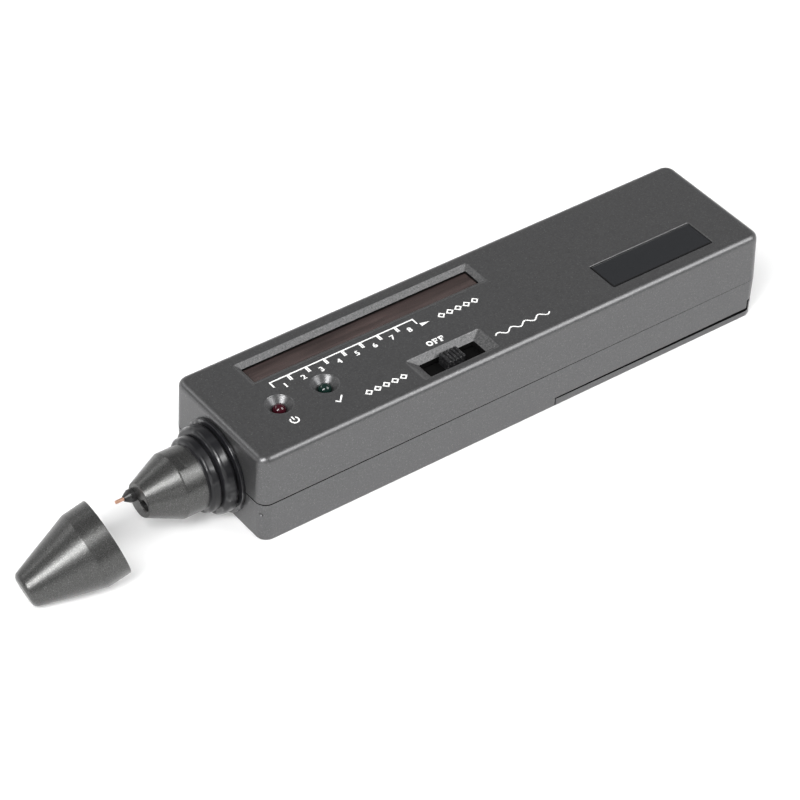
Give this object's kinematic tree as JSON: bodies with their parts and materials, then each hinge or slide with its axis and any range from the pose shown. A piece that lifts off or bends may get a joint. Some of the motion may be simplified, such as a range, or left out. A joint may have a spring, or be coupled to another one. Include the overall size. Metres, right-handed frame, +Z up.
{
  "type": "moissanite tester",
  "caption": "Slim handheld stone tester with a sprung copper probe, a lit scale window, a slide switch, a sliding battery door and a loose nose cap.",
  "frame": {"origin": "middle of the case's flat underside, on the surface that it lies on", "axes": "+Z up out of the top face, X along the case with the nose and probe towards -X, and the window side towards +Y"},
  "size_m": [0.2033, 0.0364, 0.0248],
  "materials": {
    "case_plastic": "fine spark texture, satin, dark gunmetal",
    "nose_plastic": "satin grey with fine speckle",
    "collar_plastic": "glossy black",
    "black_plastic": "satin black",
    "window_red": "smooth dark red, see-through when lit",
    "lamp_red": "smooth, tinted",
    "lamp_green": "smooth, tinted",
    "lamp_clear": "smooth, clear",
    "copper": "bare copper, lightly worn",
    "brass": "drawn tube, bare",
    "steel": "zinc plated",
    "board": "green lacquered glass laminate",
    "chip_black": "moulded epoxy",
    "resistor_tan": "lacquered",
    "capacitor_blue": "shrunk sleeve",
    "trimmer_blue": "moulded",
    "battery_case": "lacquered metal jacket, bare",
    "foam": "open foam",
    "lead_red": "insulated wire",
    "lead_grey": "insulated wire",
    "lead_black": "insulated wire",
    "plate": "near-black film with a thin silver edge, bare"
  },
  "bodies": {
    "housing": {"upper_shell": "case_plastic", "lower_shell": "case_plastic", "window_lens": "window_red", "lamp_baffle": "black_plastic", "scale_lamps": "lamp_red", "power_lamp": "lamp_red", "ready_lamp": "lamp_green", "lamp_spacers": "black_plastic", "mode_switch": "steel", "main_board": "board", "board_screws": "steel", "case_screws": "steel", "main_chip": "chip_black", "small_chips": "chip_black", "resistors": "resistor_tan", "capacitors": "capacitor_blue", "trimmers": "trimmer_blue", "regulator": "chip_black", "buzzer": "black_plastic", "battery": "battery_case", "battery_snap": "black_plastic", "battery_leads": "lead_red", "battery_pad": "foam", "label_plate": "plate", "nose_cone": "nose_plastic", "nose_collar": "collar_plastic", "probe_sleeve": "black_plastic", "probe_barrel": "brass", "probe_spring": "steel", "probe_plug": "black_plastic", "probe_leads": "lead_grey", "nose_lamp": "lamp_clear", "nose_lamp_leads": "lead_black"},
    "door": {"battery_door": "case_plastic"},
    "knob": {"switch_knob": "black_plastic"},
    "probe": {"probe_tip": "copper"},
    "cap": {"cap": "nose_plastic"}
  },
  "joints": [
    {"name": "door_slide", "type": "slide", "parent": "housing", "child": "door", "axis": [1, 0, 0], "range_m": [0, 0.066]},
    {"name": "mode_slide", "type": "slide", "parent": "housing", "child": "knob", "axis": [1, 0, 0], "range_m": [-0.004, 0.004]},
    {"name": "probe_press", "type": "slide", "parent": "housing", "child": "probe", "axis": [1, 0, 0], "range_m": [0, 0.0012], "stiffness_N_per_m": 200, "springref_m": -0.002, "deforming": ["probe_spring"]},
    {"name": "cap_pull", "type": "slide", "parent": "housing", "child": "cap", "axis": [-1, 0, 0], "range_m": [0, 0.025]}
  ]
}
